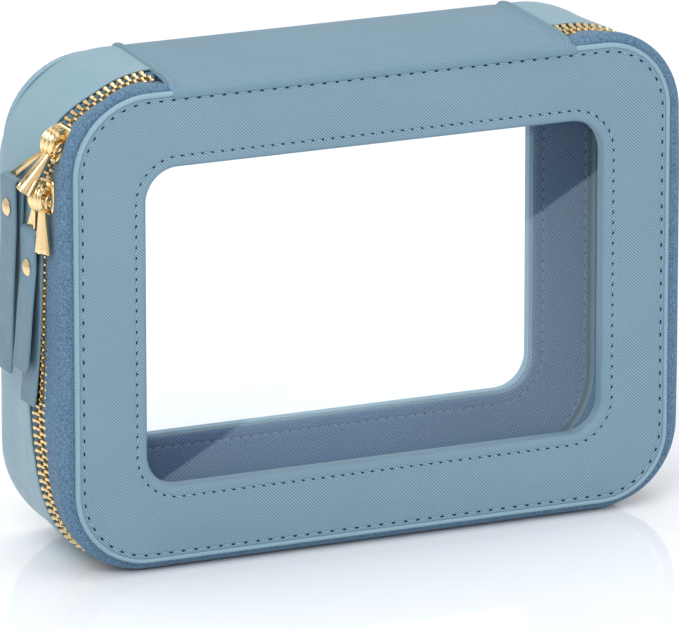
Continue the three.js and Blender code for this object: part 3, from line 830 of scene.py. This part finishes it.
for side, toward, body, shift, node in (("front", 1, "lid", 0.0, "front_zip_teeth"),
                                        ("rear", -1, "shell", 0.5, "rear_zip_teeth")):
    path = moved(wallPath, toothLook["middle"])
    first = runOfLeft(toothLook["firstX"]) + toothLook["margin"]
    last = path["run"][-1] - (wallLength - runOfRight(toothLook["lastX"])) - toothLook["margin"]
    run = np.arange(first + shift * toothLook["pitch"], last, toothLook["pitch"])
    hubs, radius, flat, onward = lineUp(path, placeAt(path, run), zipPlane)
    radius = radius + belly(zipPlane, placeAt(path, run))[:, None]
    lean = math.radians(toothLook["lean"])
    backward = np.array([0, 1, 0]) * math.cos(lean) + flat * math.sin(lean)
    out = flat * math.cos(lean) - np.array([0, 1, 0]) * math.sin(lean)
    inward = toward * backward
    centres = hubs + radius * flat + inward * (toothLook["reach"] - toothLook["length"])
    axes = np.stack([inward, onward, out], 1)
    settle(manyPiece(f"{side}_teeth", toothShape(), centres, axes, gold, sharp=35), body, "gold_metal", node)
print("zip teeth made")


# One leather strip over the top, the lid's hinge. Across its width it follows the
# swelling wall; at each end a rolled welt stands up, with a sewn crease beside it.
stripLook = {
    "top": 163.8, "length": 146, "thickness": 1.0, "weltWidth": 2.6, "weltHeight": 1.0,
    "crease": 4.1, "creaseDepth": 0.3, "creaseWidth": 0.45,
    "foldDip": 0.25, "foldWidth": 1.1, "blendReach": 6.5,
}


# Height over the strip's base: the swell, plus a half sine for the welt at each end, less
# a bell-shaped crease beside it and another along the fold.
def stripHeight(x, y):
    fromLeft, fromRight = x - seamLeft(y), seamRight(y) - x
    height = stripSwell(y)
    for gap in (fromLeft, fromRight):
        inside = np.clip(gap / stripLook["weltWidth"], 0, 1)
        height = height + stripLook["weltHeight"] * np.sin(math.pi * inside) ** 0.75
        crease = np.exp(-((gap - stripLook["crease"]) / stripLook["creaseWidth"]) ** 2)
        height = height - stripLook["creaseDepth"] * crease
    return height - stripLook["foldDip"] * np.exp(-((y - zipPlane) / stripLook["foldWidth"]) ** 2)


# The strip is a closed sheet: the front lap, the top from front to back, the hem, and
# the underside back again.
def stripPoints():
    length = stripLook["length"]
    ends = np.array([0, 0.25, 0.6, 1.0, 1.4, 1.8, 2.2, 2.6, 2.9, 3.3, 3.7, 4.1, 4.5, 5.0, 6.0, 8.0])
    share = np.concatenate([ends, np.linspace(14, 132, 40), length - ends[::-1]]) / length
    y = np.concatenate([np.linspace(-28.6, -20, 8), np.linspace(-19.2, -9.8, 15),
                        np.linspace(-8.5, 16, 12), np.linspace(17.5, 29.2, 11)])[:, None]
    x = seamLeft(y) + share[None] * (seamRight(y) - seamLeft(y))
    top = np.stack([x, y + 0 * x, stripLook["top"] + stripHeight(x, y)], -1)
    # the front edge laps over the rolled edge and ends in the sewn channel
    lap = [(-29.6, 0.95), (-30.6, 1.1), (-31.4, 0.85), (-31.95, 0.2), (-32.1, -0.6), (-31.95, -1.35),
           (-31.6, -1.75), (-31.35, -1.6), (-31.4, -0.9), (-31.0, 0.1), (-30.0, 0.35), (-28.6, 0.0)]
    hem = [(29.5, 1.1), (29.75, 0.5), (29.4, 0.1)]
    lapRows, hemRows = (np.stack([np.stack([line, 0 * line + a, 0 * line + stripLook["top"] + b], -1)
                                  for a, b in rows]) for line, rows in ((x[0], lap), (x[-1], hem)))
    under = np.stack([x, y + 0 * x, stripLook["top"] + stripSwell(y) - stripLook["thickness"] + 0 * x], -1)
    return np.concatenate([lapRows[:7][::-1], top, hemRows, under[::-1], lapRows[7:][::-1]])


grid = stripPoints()
line = grid[:, 30]                     # one well away from the welts, to measure the width along
gaps = np.linalg.norm(np.diff(line, axis=0, append=line[:1]), axis=1)
uv = (grid[0, :, 0], np.concatenate([[0], np.cumsum(gaps)]))
strip = gridPiece("top_strip", grid, stripLeather, rowLoop=True, caps=True, uv=uv, sharp=60)
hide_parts("top_strip_front", "top_strip_rear")
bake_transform(strip)
print("top strip made")


# Slider pieces are shaped in the slider's own frame: +X out of the case, +Y to the
# front, +Z along the zip. A place is x, z of its origin and its angle from upright.
def standing(points, place, behind=0.0, tilt=0.0):
    x, z, angle = place
    a, t = math.radians(angle), math.radians(tilt)
    px = -(points[..., 0] * math.cos(t) - points[..., 1] * math.sin(t))
    py = -(points[..., 0] * math.sin(t) + points[..., 1] * math.cos(t))
    pz = points[..., 2]
    return np.stack([x + px * math.cos(a) + pz * math.sin(a), zipPlane + py + behind,
                     z - px * math.sin(a) + pz * math.cos(a)], -1)


# A closed section carried along a line in the X-Z plane: section rows hold the
# place across (Y) and out along the line's normal, scaled at each station.
def carried(line, section, acrossScale=1.0, outScale=1.0, middle=0.0):
    line = np.array(line, float)
    step = np.gradient(line, axis=0)
    step /= np.linalg.norm(step, axis=1)[:, None]
    normal = np.stack([step[:, 1], -step[:, 0]], 1)
    level = np.zeros((1, len(line)))
    across = section[:, :1] * acrossScale + middle + level
    out = section[:, 1:] * outScale + level
    return np.stack([line[None, :, 0] + out * normal[None, :, 0], across,
                     line[None, :, 1] + out * normal[None, :, 1]], -1)


# Corners become a rounded section: each is repeated, and the ring is averaged twice
# over as many neighbours.
def smoothSection(points, count=4):
    ring = np.repeat(np.array(points, float), count, 0)
    kernel = np.ones(count) / count
    for _ in range(2):
        wrapped = [np.concatenate([c[-count:], c, c[:count]]) for c in ring.T]
        ring = np.stack([np.convolve(c, kernel, "same")[count:-count] for c in wrapped], 1)
    return ring


# Several grids, each with its own loops and caps, become one piece.
def joinedPiece(name, grids, material, sharp=45):
    points, faces, offset = [], [], 0
    for grid, rowLoop, columnLoop, caps in grids:
        index, quads, _ = gridFaces(grid.shape[:2], rowLoop, columnLoop)
        points.append(grid.reshape(-1, 3))
        faces += (quads + offset).tolist()
        if caps:
            faces += [(index[:, 0] + offset).tolist(), (index[::-1, -1] + offset).tolist()]
        offset += grid.shape[0] * grid.shape[1]
    mesh = bpy.data.meshes.new(name)
    mesh.from_pydata((np.concatenate(points) * millimetre).tolist(), [], faces)
    return finishedPiece(name, mesh, material, sharp)


# A pillow: rings of an outline drawn in towards its middle while the height rises.
def pillow(outline, steps):
    outline = np.array(outline, float)
    centre = outline.mean(0)
    rings = [np.concatenate([centre + (outline - centre) * scale, np.full((len(outline), 1), height)], 1)
             for scale, height in steps]
    grid = np.stack(rings)
    return np.stack([grid[..., 2], grid[..., 0], grid[..., 1]], -1)


# A round tube bent into an oval ring in the X-Z plane.
def ringTube(centre, radii, tube):
    a = np.linspace(0, 2 * math.pi, 28, endpoint=False)[None]
    b = np.linspace(0, 2 * math.pi, 10, endpoint=False)[:, None]
    x = centre[0] + (radii[0] + tube * np.cos(b)) * np.cos(a)
    z = centre[2] + (radii[1] + tube * np.cos(b)) * np.sin(a)
    return np.stack([x, centre[1] + tube * np.sin(b) + 0 * a, z], -1)


sliderLook = {
    "length": 12.2, "width": 10.2, "plate": 1.3, "halfGap": 1.9,
    "narrowing": 0.16,                 # the closing end is narrower by this share
    "crownReach": 5.3, "crownHeight": 5.4, "crownWidth": 6.2, "crownBar": 1.5,
    "pinOut": 4.6, "pinRadius": 0.65,
    "tilt": 22, "shift": -2.0,         # degrees and millimetres towards the front
}


# Two domed plates above and below the teeth, bent flanges between them at the sides, and
# the post that parts the rows. The plates' outline is a squared oval.
def sliderGrids():
    look = sliderLook
    halfWidth, halfLength = look["width"] / 2, look["length"] / 2
    a = np.linspace(0, 2 * math.pi, 40, endpoint=False)
    narrow = 1 - look["narrowing"] * (1 - np.sin(a)) / 2
    outline = np.stack([halfWidth * squared(np.cos(a), 0.45) * narrow,
                        halfLength * squared(np.sin(a), 0.5)], 1)
    grids = []
    dome = [(0, 0), (0.5, 0), (0.9, 0), (0.97, 0.1), (1, 0.35), (1, 0.7), (0.95, 1.0), (0.85, 1.2),
            (0.6, 1.3), (0.3, 1.36), (0, 1.38)]
    for base, sign in ((look["halfGap"], 1), (-look["halfGap"], -1)):
        rings = [(s, base + sign * h * look["plate"] / 1.3) for s, h in dome]
        grids.append((pillow(outline, rings), False, True, False))
    # side flanges, bent in over the teeth
    flange = smoothSection([(-0.5, -0.75), (0.5, -0.75), (0.5, 0.75), (-0.5, 0.75)])
    line = np.stack([np.full(9, look["halfGap"] - 0.25),
                     np.linspace(-halfLength + 1.8, halfLength - 2.8, 9)], 1)
    fade = np.array([0.3, 0.8, 1, 1, 1, 1, 1, 0.8, 0.3])
    for side in (-1, 1):
        grids.append((carried(line, flange, fade, fade, side * (halfWidth - 0.62)), True, False, True))
    post = smoothSection([(-0.6, -1.6), (0.6, -1.6), (0.6, 1.6), (-0.6, 1.6)])
    line = np.stack([np.linspace(-look["halfGap"] - 0.4, look["halfGap"] + 0.4, 5), np.full(5, 2.6)], 1)
    grids.append((carried(line, post), True, False, True))
    return grids


# The crown is a broad bowed bridge with three ribs along it, over which the pulls hang.
def crownGrids():
    look = sliderLook
    t = np.linspace(0, math.pi, 25)
    inner = look["crownHeight"] - look["crownBar"] / 2
    line = np.stack([look["halfGap"] + look["plate"] - 0.5 + inner * np.sin(t),
                     -(look["crownReach"] - look["crownBar"] / 2) * np.cos(t)], 1)
    half = look["crownWidth"] / 2
    y = np.linspace(-1, 1, 25)
    rib = 0.5 + 0.32 * np.cos(3 * math.pi * y) - 0.3 * np.abs(y) ** 5
    outer = np.stack([y * half, rib * look["crownBar"] * 0.8], 1)
    under = np.stack([y[::-1][1:-1] * half * 0.94, np.full(23, -look["crownBar"] / 2)], 1)
    section = np.concatenate([outer, under])
    bow = 0.72 + 0.28 * np.sin(t)
    return [(carried(line, section, bow), True, False, True)]


# The section of a pull: a shallow trough between two raised rims, mirrored about its middle.
def pullSection(rim):
    half = np.array([(0, 0.16), (0.3, 0.22), (0.52, 0.42), (0.68, 0.8), (0.8, 1.0), (0.9, 0.98), (0.98, 0.8),
                     (1.0, 0.45), (0.97, 0.12), (0.85, 0.0), (0.5, 0.0)], float) * [1, rim]
    return np.concatenate([half, (half * [-1, 1])[::-1][:-1]])


# A flared pull: a trough with raised rims that widens from its neck to a blunt foot,
# hung on an eye round the pin.
def pullGrids(neckDrop, footDrop, neckWidth, footWidth, neckMiddle, footMiddle, rim, side):
    share = np.array([0, 0.04, 0.12, 0.25, 0.4, 0.55, 0.7, 0.82, 0.91, 0.965, 0.99, 1.0])
    drop = neckDrop + (footDrop - neckDrop) * share
    width = neckWidth + (footWidth - neckWidth) * share ** 1.15
    width = width * np.interp(share, [0, 0.04, 0.965, 0.99, 1], [0.8, 1, 1, 0.9, 0.72])
    middle = neckMiddle + (footMiddle - neckMiddle) * share
    line = np.stack([np.full(12, -rim / 2), -drop], 1)
    tall = np.interp(share, [0, 0.04, 0.965, 1], [0.6, 1, 1, 0.5])
    blade = carried(line, pullSection(rim) * [1, -1], width / 2, tall, 0.0)
    blade[..., 1] += middle[None]
    eyeY = side * (sliderLook["crownWidth"] / 2 + 0.75)
    eye = ringTube((0, eyeY, -1.0), (1.1, 1.9), 0.5)
    line = np.stack([np.zeros(7), np.linspace(-3.7, -neckDrop - 0.6, 7)], 1)
    neck = smoothSection([(-0.55, -0.6), (0.55, -0.6), (0.55, 0.6), (-0.55, 0.6)])
    bent = np.interp(np.linspace(0, 1, 7), [0, 1], [eyeY, neckMiddle])
    leg = carried(line, neck)
    leg[..., 1] += bent[None]
    pinA = np.linspace(0, 2 * math.pi, 12, endpoint=False)[:, None]
    pinY = np.linspace(side * 0.15, side * (sliderLook["crownWidth"] / 2 + 1.2), 4)[None]
    pinRadius = sliderLook["pinRadius"]
    pin = np.stack([pinRadius * np.cos(pinA) + 0 * pinY, pinY + 0 * pinA,
                    pinRadius * np.sin(pinA) + 0 * pinY], -1)
    return [(blade, True, False, True), (eye, True, True, False), (leg, True, False, True),
            (pin, True, False, True)]


# the slider's place on the zip, its pulls' angles from upright and drops from the pin,
# how far back the strap hangs, and the lengths of its two halves
pullLook = {
    "upper": {"origin": (-105.773, 146.077), "angle": 29, "belly": 0.8,
              "tongueAngle": 40, "tongueDrop": 19.6, "clipAngle": 17, "clipDrop": 17.0, "neckMiddle": -4.0,
              "behind": 18.8, "outer": 64.5, "inner": 61.5, "rivetDrop": 8.9, "lean": 1.6},
    "lower": {"origin": (-110.5, 130.0), "angle": 0, "belly": 0.2,
              "tongueAngle": 3, "tongueDrop": 19.0, "clipAngle": -2, "clipDrop": 12.4, "neckMiddle": -5.0,
              "behind": 4.9, "outer": 46, "inner": 58, "rivetDrop": 11.5, "lean": 3.0},
}
# of the metal pull and the strap's clip: neck's drop, widths of neck and foot, rim's height
tongueLook = {"neckDrop": 4.0, "neckWidth": 3.2, "footWidth": 7.0, "rim": 1.6,
              "neckMiddle": 1.6, "footMiddle": 2.4}
clipLook = {"neckDrop": 4.4, "neckWidth": 2.4, "footWidth": 6.6, "rim": 1.3}
strapLook = {"width": 12.4, "layer": 1.2, "fold": 0.8, "belowClip": 2.0}


# The strap is a flat strip that runs up, over the clip and down again. Its line is the
# middle of the leather, out from the clip's end along +X and down -Z.
def strapLine(outer, inner, lean):
    turn = strapLook["fold"] + strapLook["layer"] / 2
    t = np.linspace(0, 1, 34)
    puff = 0.5 * np.sin(math.pi * np.clip(t * 1.1 - 0.1, 0, 1)) ** 2
    leaning = lean * t ** 2
    bend = np.interp(t, [0, 0.25, 1], [0, 0.35, -0.3])
    left = np.stack([leaning * inner / outer - turn + bend - puff * 0.2, -inner * t], 1)[::-1]
    a = np.linspace(math.pi, 0, 11)[1:-1]
    bow = np.stack([turn * np.cos(a), turn * np.sin(a)], 1)
    right = np.stack([leaning + turn - bend + puff, -outer * t], 1)
    return np.concatenate([left, bow, right])


# A flat section with rounded edges, carried along the strap's line.
def strapGrid(outer, inner, lean):
    line = strapLine(outer, inner, lean)
    half, thick = strapLook["width"] / 2, strapLook["layer"] / 2
    a = np.linspace(0, 2 * math.pi, 28, endpoint=False)
    section = np.stack([half * squared(np.cos(a), 0.18), thick * squared(np.sin(a), 0.55)], 1)
    fade = np.ones(len(line))
    fade[[0, -1]] = 0.9
    fade[[1, -2]] = 0.97
    return carried(line, section, fade, 1.0)


# The rivet is turned: radius against distance from the strap's middle.
def rivetGrid():
    out = strapLook["fold"] + strapLook["layer"] + 0.15
    a = np.linspace(0, 2 * math.pi, 32, endpoint=False)[None]
    profile = np.array([
        (0, out + 1.15), (0.8, out + 1.1), (1.6, out + 0.92), (2.3, out + 0.62), (2.8, out + 0.25),
        (3.0, out), (2.7, out - 0.1), (1.2, out - 0.1), (1.2, -out + 0.1), (2.3, -out + 0.1),
        (2.5, -out - 0.1), (2.2, -out - 0.5), (1.0, -out - 0.7), (0, -out - 0.72),
    ])
    radius, place = profile[:, :1], profile[:, 1:]
    return np.stack([place + 0 * a, radius * np.cos(a), radius * np.sin(a)], -1)


for name, pull in pullLook.items():
    a, tilt = math.radians(pull["angle"]), sliderLook["tilt"]
    x, z = (value + side * pull["belly"] for value, side in zip(pull["origin"], (-math.cos(a), math.sin(a))))
    place = (x, z, pull["angle"])
    pinReach = sliderLook["pinOut"] * math.cos(math.radians(tilt))
    forward = sliderLook["shift"] - sliderLook["pinOut"] * math.sin(math.radians(tilt))
    pinX, pinZ = x - pinReach * math.cos(a), z + pinReach * math.sin(a)
    tonguePlace = (pinX, pinZ, pull["tongueAngle"])
    clipPlace = (pinX, pinZ, pull["clipAngle"])

    grids = sliderGrids() + crownGrids()
    grids = [(standing(g, place, sliderLook["shift"], tilt), *rest) for g, *rest in grids]
    settle(joinedPiece(f"{name}_slider_body", grids, gold),
           f"{name}_slider", "gold_metal", f"{name}_slider")

    look = tongueLook
    grids = pullGrids(look["neckDrop"], pull["tongueDrop"], look["neckWidth"], look["footWidth"],
                      look["neckMiddle"], look["footMiddle"], look["rim"], 1)
    grids = [(standing(g, tonguePlace, forward, tilt), *rest) for g, *rest in grids]
    settle(joinedPiece(f"{name}_tongue", grids, gold),
           f"{name}_metal_pull", "gold_metal", f"{name}_metal_pull")

    look = clipLook
    grids = pullGrids(look["neckDrop"], pull["clipDrop"], look["neckWidth"], look["footWidth"],
                      pull["neckMiddle"], forward - pull["behind"], look["rim"], -1)
    grids = [(standing(g, clipPlace, forward), *rest) for g, *rest in grids]
    settle(joinedPiece(f"{name}_clip", grids, gold),
           f"{name}_strap", "gold_metal", f"{name}_strap_clip")

    reach = pull["clipDrop"] + strapLook["belowClip"]
    c = math.radians(pull["clipAngle"])
    hang = (pinX - reach * math.sin(c), pinZ - reach * math.cos(c), 0)
    grid = standing(strapGrid(pull["outer"], pull["inner"], pull["lean"]), hang, pull["behind"])
    settle(joinedPiece(f"{name}_strap_leather", [(grid, True, False, True)], strapLeather, sharp=60),
           f"{name}_strap", "smooth_leather", f"{name}_strap")
    lowered = (hang[0], hang[1] - pull["rivetDrop"], 0)
    grid = standing(rivetGrid(), lowered, pull["behind"])
    settle(joinedPiece(f"{name}_rivet", [(grid, False, True, False)], gold, sharp=50),
           f"{name}_strap", "gold_metal", f"{name}_strap_rivet")
print("sliders, pulls and straps made")


stageLook = {
    "floorSize": 6.0, "floor": "#f9fbff", "floorRoughness": 0.03,
    "worldSeen": 1.0, "worldLow": 0.72, "worldHigh": 0.85,
    "stripes": 0.5, "stripesAcross": 11, "stripesUp": 7,
    "cameraAngle": -23.97, "cameraRise": 16.0, "cameraTarget": (-0.00011, -0.0015, 0.07229),
    "cameraDistance": 3.02641, "sensor": 36, "lens": 36 * 9000 / 679,
    # each light: place, aim, size, watts, colour
    "lights": {
        "keyLight": ((-1.3, -1.5, 1.6), (0, 0, 0.08), 1.3, 28, (1.0, 0.99, 0.97)),
        "fillLight": ((1.6, -1.4, 0.9), (0, 0, 0.08), 1.4, 9, (0.97, 0.99, 1.0)),
        "topLight": ((0.0, 0.5, 2.0), (0, 0, 0.1), 1.6, 11, (1.0, 1.0, 1.0)),
    },
}

halfFloor = stageLook["floorSize"] / 2
floorMesh = bpy.data.meshes.new("floor")
corners = np.array([(-1, -1, 0), (1, -1, 0), (1, 1, 0), (-1, 1, 0)]) * halfFloor
floorMesh.from_pydata(corners.tolist(), [], [(0, 1, 2, 3)])
floorMaterial, floorTree, floorShader = startMaterial("paleFloor", stageLook["floorRoughness"])
floorShader.inputs["Base Color"].default_value = paint(stageLook["floor"])
floorMesh.materials.append(floorMaterial)
floor = bpy.data.objects.new("floor", floorMesh)
bpy.context.scene.collection.objects.link(floor)

world = bpy.data.worlds.new("studio")
world.use_nodes = True
bpy.context.scene.world = world
tree = world.node_tree
background = tree.nodes["Background"]
background.inputs["Color"].default_value = (1, 1, 1, 1)
seen = tree.nodes.new("ShaderNodeLightPath").outputs["Is Camera Ray"]
up = tree.nodes.new("ShaderNodeSeparateXYZ")
tree.links.new(tree.nodes.new("ShaderNodeTexCoord").outputs["Generated"], up.inputs[0])
glow = ranged(tree, up.outputs[2], 0.05, 0.9, stageLook["worldLow"], stageLook["worldHigh"])
# bright and dark panels stand round the front of the room, for the metal to mirror
climb = maths(tree, "MULTIPLY", up.outputs[2], stageLook["stripesUp"])
wave = maths(tree, "MULTIPLY_ADD", up.outputs[0], stageLook["stripesAcross"], climb)
ahead = ranged(tree, up.outputs[1], -0.25, 0.05, stageLook["stripes"], 0)
glow = maths(tree, "MULTIPLY_ADD", maths(tree, "SINE", wave), ahead, glow)
strength = maths(tree, "MULTIPLY_ADD", seen, maths(tree, "SUBTRACT", stageLook["worldSeen"], glow), glow)
tree.links.new(strength, background.inputs["Strength"])


# A lamp or camera at its place, its -Z turned to the aim.
def aimed(thing, place, aim):
    thing.location = place
    thing.rotation_euler = (Vector(aim) - Vector(place)).to_track_quat("-Z", "Y").to_euler()


for name, (place, aim, size, watts, colour) in stageLook["lights"].items():
    light = bpy.data.lights.new(name, "AREA")
    light.size = size
    light.energy = watts
    light.color = colour
    lamp = bpy.data.objects.new(name, light)
    bpy.context.scene.collection.objects.link(lamp)
    aimed(lamp, place, aim)

camera = bpy.data.objects.new("camera", bpy.data.cameras.new("camera"))
camera.data.lens = stageLook["lens"]
camera.data.sensor_width = stageLook["sensor"]
camera.data.clip_end = 50
bpy.context.scene.collection.objects.link(camera)
turn, rise = math.radians(stageLook["cameraAngle"]), math.radians(stageLook["cameraRise"])
back = Vector((math.sin(turn) * math.cos(rise), -math.cos(turn) * math.cos(rise), math.sin(rise)))
target = Vector(stageLook["cameraTarget"])
aimed(camera, target + back * stageLook["cameraDistance"], target)
bpy.context.scene.camera = camera
bpy.context.scene.view_settings.view_transform = "Standard"
print("floor, light and camera made")
